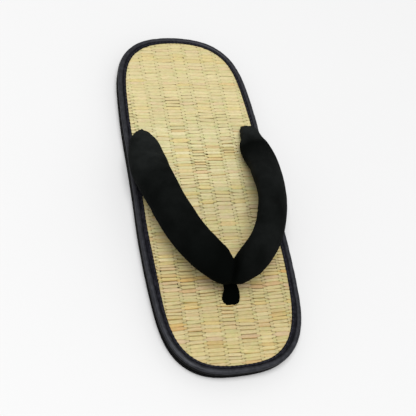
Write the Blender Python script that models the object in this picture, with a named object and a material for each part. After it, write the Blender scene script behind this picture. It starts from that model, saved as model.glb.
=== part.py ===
"""Flat thong sandal with a woven rush footbed, one of a pair that fits either foot.

X runs across the sandal, the toe points to -Y and the heel to +Y, and the ground is z = 0.
All lengths are in metres. The origin is the centre of the sandal's footprint on the ground.
"""
import math

import bpy
import bmesh
from mathutils import Vector

# ---- driving dimensions ----
MM = 0.001
GAP = 0.3 * MM                  # clearance between pieces that rest on each other
HOLE_DEPTH = 1.0 * MM           # how far a hole's cutter runs on past the rush's underside

MAT_LENGTH = 262 * MM           # visible rush surface, toe to heel
TOE_HALF_WIDTH = 52.8 * MM      # half width that the outline tends to at the toe
HEEL_HALF_WIDTH = 53.8 * MM     # the same at the heel
WAIST_DRAW = 7.3 * MM           # how far the sides draw in at mid length
CORNER_POWER = 3.3              # roundness of both ends: 2 is an ellipse, more is squarer
OUTLINE_POINTS = 104            # corners around every outline

OUTSOLE_THICKNESS = 6.2 * MM
MAT_UNDERSIDE = OUTSOLE_THICKNESS + GAP
MAT_TOP = 11.7 * MM             # height of the surface that the foot rests on

STRIP_WIDTH = 2.4 * MM          # flat stitched band of the binding, on top of the rush
STRIP_THICKNESS = 0.5 * MM
PIPING_RADIUS = 2.0 * MM        # raised round edge outside the band
WALL_THICKNESS = 2.6 * MM       # binding below the piping
EDGE_REACH = 6.1 * MM           # from the visible rush to the outermost point

STRAP_SIDES = 20                # corners around a strap's section
STRAP_STEP = 5 * MM             # spacing of the strap's sections
POST_SIDES = 16

# One leg of the strap, from the bottom of its hole to the join over the toe post. Heights are
# above the rush. The other leg is its mirror image. tilt, in degrees, lowers a section's outer
# edge, and mitre turns a section from square to the leg (0) to the plane where the two legs are
# sewn together (1).
STRAP_COLUMNS = ("across", "forward", "height", "half_width", "half_height", "tilt", "mitre")
STRAP_TABLE_MM = (
    (41.4, -46.4, -4.9, 3.3, 3.3, 0, 0.0),
    (41.4, -46.3, -0.4, 3.9, 3.9, 0, 0.0),
    (41.7, -43.8, 4.9, 5.4, 4.4, 0, 0.0),
    (42.0, -38.0, 7.6, 8.2, 6.4, 0, 0.0),
    (42.1, -29.0, 9.5, 11.2, 8.2, 4, 0.0),
    (41.9, -16.5, 11.4, 12.8, 9.4, 12, 0.0),
    (41.4, -6.0, 14.6, 13.2, 9.7, 25, 0.0),
    (40.6, 5.0, 18.4, 13.2, 9.6, 37, 0.0),
    (38.8, 17.0, 22.4, 12.8, 9.3, 43, 0.0),
    (35.9, 28.0, 25.4, 12.6, 9.1, 45, 0.0),
    (32.4, 39.0, 27.1, 12.5, 8.9, 45, 0.0),
    (28.2, 48.8, 27.5, 12.4, 8.8, 44, 0.1),
    (22.4, 58.2, 27.0, 12.2, 8.7, 40, 0.25),
    (15.0, 66.2, 25.6, 11.8, 8.7, 34, 0.5),
    (7.2, 72.4, 23.6, 11.0, 8.6, 27, 0.8),
    (0.0, 75.6, 22.2, 9.4, 7.6, 22, 1.0),
)

# The toe post, from the bottom of its hole up to the strap. Heights are above the rush.
POST_COLUMNS = ("across", "forward", "height", "half_width", "half_depth")
POST_TABLE_MM = (
    (2.0, 85.4, -4.9, 4.6, 3.4),
    (2.0, 85.4, -0.3, 5.4, 3.8),
    (1.9, 84.9, 2.4, 5.8, 4.2),
    (1.6, 82.2, 6.0, 5.5, 4.0),
    (1.1, 78.8, 10.0, 5.2, 3.8),
    (0.6, 75.8, 14.2, 5.0, 3.7),
    (0.3, 74.0, 18.5, 4.8, 3.6),
)

BLACK_RUBBER = ((0.012, 0.012, 0.013, 1.0), 0.6)
RUSH_STRAW = ((0.60, 0.50, 0.24, 1.0), 0.65)
BLACK_VINYL = ((0.018, 0.018, 0.022, 1.0), 0.38)
BLACK_COTTON = ((0.008, 0.008, 0.008, 1.0), 0.9)


# ---- helpers ----
def clear_scene():
    for item in list(bpy.data.objects):
        bpy.data.objects.remove(item, do_unlink=True)


def make_material(name, finish):
    colour, roughness = finish
    material = bpy.data.materials.new(name)
    material.use_nodes = True
    shader = material.node_tree.nodes["Principled BSDF"]
    shader.inputs["Base Color"].default_value = colour
    shader.inputs["Roughness"].default_value = roughness
    shader.inputs["Metallic"].default_value = 0.0
    return material


def finish_object(name, builder, material, sharp_degrees=35):
    """Turn a bmesh into a named, outward-facing, smooth-shaded object."""
    bmesh.ops.recalc_face_normals(builder, faces=builder.faces)
    mesh = bpy.data.meshes.new(name)
    builder.to_mesh(mesh)
    builder.free()
    mesh.shade_smooth()
    mesh.set_sharp_from_angle(angle=math.radians(sharp_degrees))
    mesh.materials.append(material)
    item = bpy.data.objects.new(name, mesh)
    bpy.context.scene.collection.objects.link(item)
    return item


def rows(columns, table):
    """The rows of a table in millimetres as dictionaries."""
    return [dict(zip(columns, row)) for row in table]


def mix(low, high, share):
    return low + (high - low) * share


# ---- outline of the sandal ----
def outline_point(angle):
    """A point of the rush's visible edge. Angle 0 is the toe and a half turn is the heel."""
    along = -math.copysign(abs(math.cos(angle)) ** (2 / CORNER_POWER), math.cos(angle))
    across = math.copysign(abs(math.sin(angle)) ** (2 / CORNER_POWER), math.sin(angle))
    half_width = mix(TOE_HALF_WIDTH, HEEL_HALF_WIDTH, (1 + along) / 2)
    half_width -= WAIST_DRAW * (1 - along * along)
    return Vector((across * half_width, along * MAT_LENGTH / 2))


def edge_stations(count):
    """Evenly spaced points on the rush's edge, each with its outward direction."""
    fine = 3600
    curve = [outline_point(2 * math.pi * step / fine) for step in range(fine)]
    reached = [0.0]
    for step in range(fine):
        reached.append(reached[-1] + (curve[(step + 1) % fine] - curve[step]).length)
    spots = []
    step = 0
    for number in range(count):
        wanted = reached[-1] * number / count
        while reached[step + 1] < wanted:
            step += 1
        share = (wanted - reached[step]) / (reached[step + 1] - reached[step])
        spots.append(curve[step].lerp(curve[(step + 1) % fine], share))
    stations = []
    for number, spot in enumerate(spots):
        ahead = spots[(number + 1) % count] - spots[number - 1]
        stations.append((spot, Vector((ahead.y, -ahead.x)).normalized()))
    return stations


def ring_of(builder, out, height):
    """One closed ring of vertices, this far outside the rush's edge."""
    ring = []
    for spot, outward in edge_stations(OUTLINE_POINTS):
        place = spot + outward * out
        ring.append(builder.verts.new((place.x, place.y, height)))
    return ring


def join_rings(builder, lower, upper):
    count = len(lower)
    for i in range(count):
        j = (i + 1) % count
        builder.faces.new((lower[i], lower[j], upper[j], upper[i]))


def stacked_solid(profile):
    """A solid whose edge follows a profile of (out, height) rows, with flat ends."""
    builder = bmesh.new()
    rings = [ring_of(builder, out, height) for out, height in profile]
    for lower, upper in zip(rings, rings[1:]):
        join_rings(builder, lower, upper)
    builder.faces.new(list(reversed(rings[0])))
    builder.faces.new(rings[-1])
    return builder


def hoop_solid(profile):
    """A closed hoop whose section is a loop of (out, height) rows."""
    builder = bmesh.new()
    rings = [ring_of(builder, out, height) for out, height in profile]
    for number, lower in enumerate(rings):
        join_rings(builder, lower, rings[(number + 1) % len(rings)])
    return builder


# ---- lofts ----
def smooth_row(table_rows, position):
    """A row read off the table's smooth curve; position counts rows from 0."""
    first = min(int(position), len(table_rows) - 2)
    share = position - first
    before = table_rows[max(first - 1, 0)]
    start = table_rows[first]
    end = table_rows[first + 1]
    after = table_rows[min(first + 2, len(table_rows) - 1)]
    values = {}
    for key in start:
        leave = (end[key] - before[key]) / 2
        arrive = (after[key] - start[key]) / 2
        cube = 2 * start[key] - 2 * end[key] + leave + arrive
        square = 3 * end[key] - 3 * start[key] - 2 * leave - arrive
        values[key] = ((cube * share + square) * share + leave) * share + start[key]
    return values


def section_ring(builder, centre, side, top, half_width, half_height, count):
    ring = []
    for number in range(count):
        turn = 2 * math.pi * number / count
        place = centre + side * (half_width * math.cos(turn)) + top * (half_height * math.sin(turn))
        ring.append(builder.verts.new(place))
    return ring


def strap_positions(table_rows):
    """Table positions about STRAP_STEP apart along the leg, closer where it bends at its hole."""
    positions = [0.0]
    for number, (start, end) in enumerate(zip(table_rows, table_rows[1:])):
        travel = math.dist(
            (start["across"], start["forward"], start["height"]),
            (end["across"], end["forward"], end["height"]),
        ) * MM
        pieces = max(2, round(travel / STRAP_STEP))
        positions += [number + (part + 1) / pieces for part in range(pieces)]
    return positions


def loft_centres(samples, grow):
    """Centres of a loft's sections. A grown copy starts lower, to cut right through the rush."""
    centres = [Vector((s["across"], -s["forward"], s["height"])) * MM for s in samples]
    for centre in centres:
        centre.z += MAT_TOP
    if grow:
        centres[0].z = MAT_UNDERSIDE - HOLE_DEPTH
    return centres


def strap_sections(grow):
    """Centre, wide and thick direction, and half sizes of each section of the right leg."""
    table_rows = rows(STRAP_COLUMNS, STRAP_TABLE_MM)
    samples = [smooth_row(table_rows, spot) for spot in strap_positions(table_rows)]
    centres = loft_centres(samples, grow)
    sections = []
    top = Vector((0, 1, 0))
    for number, sample in enumerate(samples):
        ahead = centres[min(number + 1, len(centres) - 1)] - centres[max(number - 1, 0)]
        ahead.normalize()
        normal = ahead.lerp(Vector((-1, 0, 0)), sample["mitre"]).normalized()
        top = (top - normal * top.dot(normal)).normalized()
        side = normal.cross(top)
        tilt = math.radians(sample["tilt"])
        wide = side * math.cos(tilt) + top * math.sin(tilt)
        thick = top * math.cos(tilt) - side * math.sin(tilt)
        half_width = sample["half_width"] * MM + grow
        half_height = sample["half_height"] * MM + grow
        sections.append((centres[number], wide, thick, half_width, half_height))
    return sections


def strap_solid(grow=0.0):
    """Both legs in one loft, from one hole over the join to the other hole."""
    builder = bmesh.new()
    sections = strap_sections(grow)
    right = [section_ring(builder, *section, STRAP_SIDES) for section in sections]
    for vertex in right[-1]:
        vertex.co.x = 0.0
    left = []
    for ring in right[:-1]:
        left.append([builder.verts.new((-v.co.x, v.co.y, v.co.z)) for v in ring])
    path = right + list(reversed(left))
    for lower, upper in zip(path, path[1:]):
        join_rings(builder, lower, upper)
    builder.faces.new(path[0])
    builder.faces.new(list(reversed(path[-1])))
    return builder


def post_solid(grow=0.0):
    """The toe post as a flattened loft that leans back from its hole to the strap."""
    builder = bmesh.new()
    table_rows = rows(POST_COLUMNS, POST_TABLE_MM)
    spots = [number / 2 for number in range(2 * len(table_rows) - 1)]
    samples = [smooth_row(table_rows, spot) for spot in spots]
    centres = loft_centres(samples, grow)
    rings = []
    for number, sample in enumerate(samples):
        ahead = centres[min(number + 1, len(centres) - 1)] - centres[max(number - 1, 0)]
        side = Vector((1, 0, 0))
        depth = ahead.normalized().cross(side)
        half_width = sample["half_width"] * MM + grow
        half_depth = sample["half_depth"] * MM + grow
        rings.append(section_ring(builder, centres[number], side, depth, half_width, half_depth, POST_SIDES))
    for lower, upper in zip(rings, rings[1:]):
        join_rings(builder, lower, upper)
    builder.faces.new(list(reversed(rings[0])))
    builder.faces.new(rings[-1])
    return builder


def cut(item, name, builder):
    """Take a shape away from an object with an exact boolean, keeping the cutter hidden."""
    cutter = finish_object(name, builder, item.data.materials[0])
    cutter.hide_render = True
    cutter.display_type = "WIRE"
    modifier = item.modifiers.new(name, "BOOLEAN")
    modifier.operation = "DIFFERENCE"
    modifier.solver = "EXACT"
    modifier.object = cutter


# ---- the pieces ----
def build_outsole():
    profile = (
        (3.9 * MM, 0.0),
        (4.7 * MM, 0.5 * MM),
        (5.0 * MM, 1.4 * MM),
        (5.0 * MM, 4.4 * MM),
        (5.6 * MM, 5.0 * MM),
        (5.8 * MM, 5.7 * MM),
        (5.4 * MM, OUTSOLE_THICKNESS),
    )
    finish_object("outsole", stacked_solid(profile), make_material("black_rubber", BLACK_RUBBER))


def build_edge_binding():
    inner = EDGE_REACH - WALL_THICKNESS
    piping_out = EDGE_REACH - PIPING_RADIUS
    piping_height = MAT_TOP - 0.5 * MM
    strip_low = MAT_TOP + GAP
    strip_high = strip_low + STRIP_THICKNESS
    profile = [(0.0, strip_low), (0.0, strip_high), (STRIP_WIDTH - 0.3 * MM, strip_high)]
    for degrees in (140, 110, 80, 50, 20, -10, -40):
        turn = math.radians(degrees)
        profile.append((
            piping_out + PIPING_RADIUS * math.cos(turn),
            piping_height + PIPING_RADIUS * math.sin(turn),
        ))
    profile.append((5.4 * MM, MAT_UNDERSIDE + 1.6 * MM))
    profile.append((5.3 * MM, MAT_UNDERSIDE))
    profile.append((inner, MAT_UNDERSIDE))
    profile.append((inner, strip_low))
    material = make_material("black_vinyl", BLACK_VINYL)
    finish_object("edge_binding", hoop_solid(profile), material)


def build_rush_mat():
    edge = EDGE_REACH - WALL_THICKNESS - GAP
    profile = ((edge, MAT_UNDERSIDE), (edge, MAT_TOP))
    material = make_material("rush_straw", RUSH_STRAW)
    mat = finish_object("rush_mat", stacked_solid(profile), material)
    cut(mat, "strap_hole_cutter", strap_solid(grow=GAP))
    cut(mat, "post_hole_cutter", post_solid(grow=GAP))


def build_straps():
    material = make_material("black_cotton", BLACK_COTTON)
    finish_object("straps", strap_solid(), material)


def build_toe_post():
    material = make_material("black_cotton_post", BLACK_COTTON)
    post = finish_object("toe_post", post_solid(), material)
    cut(post, "strap_seat_cutter", strap_solid(grow=GAP))


def main():
    clear_scene()
    build_outsole()
    build_edge_binding()
    build_rush_mat()
    build_straps()
    build_toe_post()


main()
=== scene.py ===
"""A flat thong sandal: woven rush footbed, stitched vinyl binding, rubber outsole and padded
cotton straps.

X runs across the sandal, the toe points to -Y and the heel to +Y, and the floor is z = 0.
All lengths are in metres.
"""
import functools
import math
from types import SimpleNamespace

import bpy
import numpy as np
from mathutils import Matrix, Vector, noise


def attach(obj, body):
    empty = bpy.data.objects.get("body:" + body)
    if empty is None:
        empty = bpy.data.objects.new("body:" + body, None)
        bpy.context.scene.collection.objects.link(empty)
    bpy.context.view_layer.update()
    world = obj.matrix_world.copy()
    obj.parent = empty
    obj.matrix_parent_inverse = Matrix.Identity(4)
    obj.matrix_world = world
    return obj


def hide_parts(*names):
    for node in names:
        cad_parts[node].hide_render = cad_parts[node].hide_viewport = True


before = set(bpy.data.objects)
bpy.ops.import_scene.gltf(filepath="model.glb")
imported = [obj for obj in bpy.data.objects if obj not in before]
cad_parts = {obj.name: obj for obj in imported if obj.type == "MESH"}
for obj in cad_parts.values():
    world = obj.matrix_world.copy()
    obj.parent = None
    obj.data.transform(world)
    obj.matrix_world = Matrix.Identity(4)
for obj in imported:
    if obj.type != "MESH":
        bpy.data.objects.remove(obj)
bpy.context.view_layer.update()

MM = 0.001
SEED = 11

# ---- camera ----
CAMERA_PLACE = Vector((-184.9, -295.8, 511.7)) * MM
CAMERA_AIM = Vector((-0.4, -16.2, 11.7)) * MM
CAMERA_ROLL = math.radians(26.97)
CAMERA_LENS = 74.2

# ---- studio ----
KEY_PLACE = Vector((-0.75, -0.75, 4.1))
KEY_SIZE = 2.6
KEY_ENERGY = 146.0
SKY_STRENGTH = 0.42
FLOOR_REACH = 3.0

# ---- outline and heights ----
MAT_LENGTH = 262 * MM           # visible rush surface, toe to heel
TOE_HALF_WIDTH = 52.8 * MM      # half width that the outline tends to at the toe
HEEL_HALF_WIDTH = 53.8 * MM     # the same at the heel
WAIST_DRAW = 7.3 * MM           # how far the sides draw in at mid length
CORNER_POWER = 3.3              # roundness of both ends: 2 is an ellipse, more is squarer
EDGE_POINTS = 1800              # of the dense line that stations on the edge are read from
# The real edge against that even outline, and the width of the binding against EDGE_REACH, at
# evenly spaced places from the toe's middle round the right-hand side; outward is positive.
EDGE_NUDGES_MM = (
    1.25, 0.3, -0.35, 0.2, 0.75, 0.5, 0.5, 0.6, 0.5, 0.4, 0.3, 0.2, 0.1, 0.0, 0.0, -0.05, -0.75,
    -0.75, -0.35, -0.3, -1.3, -0.15, 1.3, -0.15, -1.0, 0.1, 0.3, -0.25, -0.6, -0.35, -0.3, -0.2,
    -0.1, 0.0, 0.2, 0.3, -0.4, -1.05, -1.05, -0.6, 0.2, 0.75, 0.45, 0.8)
REACH_NUDGES_MM = (
    -0.9, -0.8, 0.25, 1.1, 0.9, 0.5, 0.2, 0.1, 0.2, 0.1, 0.0, 0.0, -0.1, -0.3, -0.6, -0.6, -0.4,
    -0.5, -0.6, -0.8, -0.7, -0.7, -0.6, -0.2, 0.2, 0.5, 0.4, 0.3, 0.3, 0.3, 0.3, 0.3,
    0.3, 0.3, 0.3, 0.4, 0.7, 0.9, 0.4, -0.1, -0.4, -0.5, -0.75, -0.6)
MAT_UNDERSIDE = 6.5 * MM
MAT_TOP = 11.7 * MM             # mean height of the rush surface

# ---- rush ----
REED_PITCH = 1.36 * MM          # mean spacing of the stalks; every other one shows in a column
REED_FINE_AT_TOE = 0.94         # their thickness at the toe and at the heel, against the mean
REED_COARSE_AT_HEEL = 1.09
REED_COVER = 1.10               # half width of a bar against its share of the column
REED_HALF_HEIGHT = 0.36 * MM
REED_CENTRE = 11.66 * MM        # height of the middle of a bar
REED_PRESSED = 11.3 * MM        # height above which the binding presses the stalks down
REED_GIVE = 0.4                 # share of that which they give way by
REED_PRESSED_FROM = -3.2 * MM   # how far outside the rush's edge the press starts
REED_PRESSED_FULL = -0.2 * MM   # and is full
REED_UNDER_STRIP = 1.3 * MM     # how far the stalks run on below the binding
REED_STRETCH = MAT_LENGTH + 6 * MM      # from the first stalk to the last
BAR_CLEAR = 0.4 * MM            # along the sandal, from a bar's middle to the binding's inside
BAR_HOLE_GAP = 0.6 * MM         # and to a hole
SHORTEST_BAR = 0.7 * MM
BAR_TILT = math.radians(10)     # how far bars may be rolled, from the least to the most
WARP_MOST = 6.5 * MM            # across, where the first warp line is furthest to the right
WARP_MOST_PLACE = 45 * MM       # and how far towards the heel that is
WARP_BEND = 0.107               # drift per square metre: the mat was stretched as it was bound
WARP_SPACING = 12.1 * MM
WARP_LINES = range(-4, 4)
WARP_NUDGES_MM = (0.0, 0.4, -0.1, 0.9, -0.4, 0.7, -0.8, 0.0)    # off the even spacing
WARP_SIDES = 6
WARP_STEP = 0.9 * MM
WARP_FEWEST_STEPS = 4           # shorter runs of cord are left out
WARP_HALF_WIDTH = 0.42 * MM
WARP_HALF_HEIGHT = 0.28 * MM
WARP_HEIGHT = 11.4 * MM         # of the middle of a cord
WARP_SWAY = 0.16 * MM           # to either side, as the cord passes over and under the stalks
CORE_TOP = 11.05 * MM

# ---- binding ----
STITCH_PITCH = 3.0 * MM
STATIONS_PER_STITCH = 6
STRIP_LOW = 12.0 * MM
STRIP_HIGH = 12.5 * MM
EDGE_REACH = 6.1 * MM           # mean distance from the rush's edge to the outside of the roll
# Half width of the roll, and how far it sits in from the outside, at evenly spaced places
# from the toe's middle round the right-hand side.
ROLL_HALVES_MM = (2.1, 1.8, 1.8, 1.9, 1.85, 2.1, 1.8, 1.9)
ROLL_INSETS_MM = (-0.25, 0.1, 0.0, 0.0, 0.0, 0.3, 0.1, -0.3)
TAPE_SIDE_ROWS = range(9, 18)   # rows of the tape's section that take the darker copy: painted shade down its side
FLANK_DEGREES = (-90, 9)        # turns of the roll's section, its outer underside, that take the darker, duller copy: painted shade
ROLL_TOP = 13.0 * MM
ROLL_CENTRE = 11.05 * MM        # height of the middle of the roll
ROLL_SIDES = 24
ROLL_POWER = 2.3                # squareness of the roll's section
THREAD_OUT = 1.05 * MM          # from the rush's edge to the line of stitches
THREAD_HEIGHT = STRIP_HIGH + 0.14 * MM
THREAD_RADIUS = 0.27 * MM
THREAD_SIDES = 7
THREAD_RINGS = 8
THREAD_HALF_LENGTH = 1.22 * MM
THREAD_SINK = 0.34 * MM         # of a stitch's ends, where they go into the strip

# ---- outsole ----
SOLE_STATIONS = 520
# The sole's section, from the hollow in its underside round the rim to its upper edge:
# distance out from the rush's edge, and height.
SOLE_PROFILE_MM = (
    (-4.0, 0.9), (-4.0, 0.1), (-3.7, 0.0), (3.6, 0.0), (4.1, 0.12), (4.5, 0.4), (4.8, 0.9),
    (4.95, 1.5), (5.0, 2.4), (4.85, 2.75), (4.85, 2.95), (5.02, 3.3), (5.05, 4.0), (4.9, 4.35),
    (4.95, 4.55), (5.4, 4.75), (5.75, 5.1), (5.85, 5.5), (5.75, 5.9), (5.4, 6.2), (4.6, 6.42))
RIB_SECTION_MM = (
    (-1.5, 1.2), (-1.25, 0.15), (-1.05, 0.0), (1.05, 0.0), (1.25, 0.15), (1.5, 1.2))
RIB_PITCH = 5.2 * MM
RIB_MARGIN = 5.0 * MM           # from the rush's edge in to a rib's end
RIB_CLEAR = 2.6 * MM            # half the width that a rib sweeps
RIB_SHORTEST = 16 * MM
RIB_STEP = 3.0 * MM
RIB_WAVE = 1.1 * MM
RIB_WAVE_LENGTH = 14 * MM

# ---- straps ----
# Each leg of the strap, from the bottom of its hole to the join over the toe post, in
# millimetres. Across is outward from the middle and forward is towards the toe; heights are
# above the rush; power is the squareness of the section, 2 for an ellipse.
STRAP_COLUMNS = ("across", "forward", "height", "half_width", "half_height", "power")
RIGHT_LEG_MM = (
    (41.4, -46.4, -4.9, 3.4, 3.6, 2.0),
    (41.2, -46.3, -0.6, 4.0, 4.0, 2.2),
    (40.3, -46.4, 1.0, 4.0, 4.6, 2.8),
    (39.7, -46.0, 2.5, 4.2, 4.7, 3.2),
    (39.9, -44.8, 4.2, 5.1, 4.9, 3.0),
    (40.2, -42.9, 5.9, 6.5, 5.3, 2.4),
    (40.3, -41.0, 7.2, 6.8, 5.3, 2.3),
    (40.1, -38.2, 8.1, 7.4, 5.6, 2.2),
    (40.2, -34.2, 8.9, 8.7, 6.5, 2.1),
    (40.3, -28.5, 9.6, 10.8, 7.8, 2.0),
    (40.8, -16.5, 11.4, 12.9, 9.3, 2.0),
    (40.6, -6.1, 14.6, 13.9, 9.8, 2.0),
    (39.2, 4.9, 18.4, 14.4, 10.3, 2.0),
    (37.5, 16.8, 22.4, 14.2, 10.0, 2.0),
    (35.2, 27.8, 25.4, 13.7, 9.6, 2.0),
    (32.4, 39.1, 27.1, 12.7, 9.1, 2.0),
    (29.0, 49.2, 27.5, 11.8, 8.5, 2.0),
    (23.5, 59.1, 27.0, 11.4, 8.4, 2.0),
    (16.1, 67.2, 25.6, 11.9, 8.9, 2.0),
    (8.0, 72.8, 23.6, 12.2, 9.5, 2.0),
    (2.9, 74.6, 22.6, 11.2, 9.3, 2.0),
    (0.0, 75.7, 21.9, 8.6, 6.6, 2.0),
)
LEFT_LEG_MM = (
    (40.9, -45.2, -4.9, 3.3, 3.2, 2.0),
    (40.7, -45.0, -0.6, 3.4, 3.1, 2.0),
    (40.5, -44.9, 0.8, 3.3, 3.3, 1.9),
    (40.3, -44.7, 2.2, 3.7, 3.5, 1.8),
    (40.3, -43.6, 3.8, 4.4, 3.8, 1.7),
    (40.7, -41.6, 5.4, 5.8, 4.0, 1.7),
    (41.3, -39.0, 6.8, 7.2, 4.9, 1.8),
    (41.7, -35.8, 8.0, 8.6, 6.0, 1.9),
    (41.3, -32.2, 8.9, 9.7, 7.1, 2.0),
    (41.3, -27.5, 9.6, 11.1, 8.0, 2.0),
    (41.8, -16.5, 11.4, 12.8, 9.4, 2.0),
    (41.3, -6.0, 14.6, 13.2, 9.7, 2.0),
    (40.1, 4.9, 18.4, 12.9, 9.5, 2.0),
    (37.9, 16.8, 22.4, 12.2, 8.9, 2.0),
    (35.1, 27.85, 25.4, 12.0, 8.9, 2.0),
    (31.4, 38.55, 27.1, 12.55, 8.9, 2.0),
    (27.2, 48.3, 27.5, 12.8, 8.9, 2.0),
    (21.7, 57.8, 27.0, 13.0, 9.1, 2.0),
    (14.45, 66.2, 25.6, 13.25, 9.4, 2.0),
    (6.7, 72.45, 23.6, 12.1, 9.1, 2.0),
    (2.4, 75.0, 22.6, 10.9, 8.6, 2.0),
    (0.0, 75.7, 21.9, 8.6, 6.6, 2.0),
)
# How the section lies at each row of either leg. lean is the angle of its plane over the
# rounded rear end, from lying flat (0) to standing upright (90); tilt, in degrees, lowers its
# outer edge; and mitre turns it from square to the leg (0) to the plane where the legs meet (1).
LIE_COLUMNS = ("lean", "tilt", "mitre")
STRAP_LIE = (
    (0, 0, 0.0), (0, 0, 0.0), (8, 0, 0.0), (18, 0, 0.0), (33, 0, 0.0), (49, 0, 0.0), (64, 0, 0.0),
    (76, 0, 0.0), (85, 1, 0.0), (90, 4, 0.0), (90, 12, 0.0), (90, 25, 0.0), (90, 37, 0.0),
    (90, 43, 0.0), (90, 45, 0.0), (90, 45, 0.0), (90, 44, 0.1), (90, 40, 0.25), (90, 34, 0.5),
    (90, 27, 0.8), (90, 23, 0.95), (90, 22, 1.0))
REAR_ROWS = 9                   # rows of each table over the rounded rear end
SLACK_ROWS = (2.5, 9.5)         # rows between which the slack comes in
STRAP_SIDES = 44
STRAP_STEP = 1.9 * MM
STRAP_EASINGS = 8               # passes that even out each leg along its length
STRAP_SLACK = 0.97              # size of the cloth before it is blown up
SWELL_MOST = 3.0 * MM           # how far a point may move as it is blown up
SWELL_FROM_END_MM = (2.0, 20.0)     # where the blowing up comes in from each end
HELD_END_MM = 4.0               # of each end, and to either side of the join, that stays put
HELD_JOIN_MM = 0.5
SWELL_EASINGS = 40              # passes that even out the blowing up along the straps
CLOTH_FRAMES = 20
CLOTH_OFF_RUSH = 0.62 * MM      # least gap between the cloth's surface and what it rests on
CLOTH_OFF_STRIP = 0.35 * MM
CLOTH_SETTINGS = {
    "quality": 6, "mass": 0.2, "use_pressure": True, "uniform_pressure_force": 4.0,
    "tension_stiffness": 14, "compression_stiffness": 14, "shear_stiffness": 6,
    "bending_stiffness": 1.5, "shrink_min": -0.015}
GATHER_DEPTH = 0.26 * MM        # of the gathers where each end goes into its hole
GATHERS = 11                    # round the section
# Soft waves and dents of the whole cloth: depth, how quickly they change along the strap and
# round it, and a shift that sets one kind apart from the other.
CLOTH_WAVES = ((0.2 * MM, 0.09, 1.1, 0.0), (0.1 * MM, 0.16, 2.6, 9.0))
SEAM_HALF_WIDTH_MM = 0.8        # of the groove along the underside
SEAM_PITCH_MM = 4.0             # of its stitches
SECTION_RADIUS_MM = 10.8        # mean radius of a strap's section
CREASE_LEAN = 1.2 * MM          # the join starts a little to the right, at its heel side
CREASE_SWING = 3.6 * MM         # and swings this far to the left at its toe side
CREASE_SPAN_MM = 13             # how far along either leg that leaning reaches
CREASE_DEPTH = 4.8 * MM         # of the fold where the two legs are pressed together and sewn
CREASE_SHALLOWEST = 0.5 * MM    # where it runs round the underside
CREASE_REACH_MM = 7.0           # its half width
CREASE_DEEPEST = math.radians(55)   # turn round the section: 0 is the heel side, 90 the top
# Painted light and shade on the black at distances from the join, in millimetres, on each leg.
PAINTED_LIGHT_TRAVEL = (0, 14, 30, 50, 85, 103, 120, 140)
RIGHT_PAINTED_LIGHT = (0.06, 0.28, 0.40, 0.32, 0.46, 0.30, 0.10, 1.60)
LEFT_PAINTED_LIGHT = (0.07, 0.06, 0.17, 0.23, 0.28, 0.76, 0.80, 1.60)
PAINTED_LIGHT_INWARD = 0.35              # how much more painted light the inner side gets than the top, and the outer side less
# The cloth's colour in the deepest painted shade and with the most painted light.
COTTON_DEEP = (0.0009, 0.0013, 0.0010)
COTTON_PAINTED_LIT = (0.0156, 0.0175, 0.0169)
WEAVE_MM = 0.62                 # from thread to thread

# ---- toe post ----
POST_PAINTED_LIGHT = 0.0                 # no painted light: the loop takes the deepest painted shade all over
POST_RINGS = 46
POST_SIDES = 48
POST_POWER = 0.8                # below 1 flattens the section
POST_RADIUS_MM = 4.6            # mean radius of the section
POST_COLUMNS = ("across", "forward", "height", "half_width", "half_depth")
POST_TABLE_MM = (
    (2.0, 85.4, -4.9, 4.6, 3.4),
    (2.1, 85.9, -0.3, 5.4, 4.4),
    (2.2, 85.9, 2.4, 5.8, 4.8),
    (1.9, 82.7, 6.0, 5.1, 4.1),
    (0.3, 78.8, 10.0, 4.6, 3.7),
    (-0.3, 75.8, 14.2, 4.5, 3.6),
    (-0.2, 74.0, 18.5, 4.5, 3.5),
)
# Where the straps and the post pass through the rush: centre and half sizes, in millimetres.
HOLES_MM = ((-40.8, 45.0, 3.7, 3.4), (41.4, 46.4, 4.3, 4.3), (2.0, -85.4, 5.7, 4.1))


# ---- mesh helpers ----
def link(name, data):
    """A new object in the scene, which holds a mesh, a lamp or a camera."""
    item = bpy.data.objects.new(name, data)
    bpy.context.scene.collection.objects.link(item)
    return item


def mesh_object(name, points, faces, material, sharp_degrees=None):
    mesh = bpy.data.meshes.new(name)
    mesh.from_pydata(np.asarray(points).tolist(), [], faces)
    mesh.validate()
    mesh.shade_smooth()
    if sharp_degrees:
        mesh.set_sharp_from_angle(angle=math.radians(sharp_degrees))
    mesh.materials.append(material)
    return link(name, mesh)


def tube_faces(rings, sides, closed=False, start=0):
    """Quads between rings of vertices. A closed tube joins its last ring to its first, and an
    open one has a cap at each end."""
    faces = []
    for ring in range(rings if closed else rings - 1):
        here = start + ring * sides
        there = start + (ring + 1) % rings * sides
        for side in range(sides):
            after = (side + 1) % sides
            faces.append((here + side, here + after, there + after, there + side))
    if not closed:
        faces.append(tuple(reversed(range(start, start + sides))))
        faces.append(tuple(range(start + (rings - 1) * sides, start + rings * sides)))
    return faces


def joined_tubes(tubes):
    """Points and faces of open tubes, each given as an array of rings of points."""
    faces = []
    start = 0
    for rings in tubes:
        count, sides = rings.shape[:2]
        faces += tube_faces(count, sides, start=start)
        start += count * sides
    return np.concatenate([rings.reshape(-1, 3) for rings in tubes]), faces


def rings_of(across, along, height):
    """Rings of points from coordinates that vary by ring, by side or by both."""
    return np.stack(np.broadcast_arrays(across, along, height), -1)


def add_point_values(item, name, kind, values):
    attribute = item.data.attributes.new(name, kind, "POINT")
    key = {"FLOAT": "value", "FLOAT_VECTOR": "vector", "FLOAT_COLOR": "color"}[kind]
    attribute.data.foreach_set(key, np.asarray(values, np.float32).ravel())


def read_array(items, key, size=3):
    """One property of each item of a mesh, such as the place of each vertex, as rows."""
    values = np.zeros(len(items) * size, np.float32)
    items.foreach_get(key, values)
    return values.reshape(-1, size).astype(float)


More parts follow.
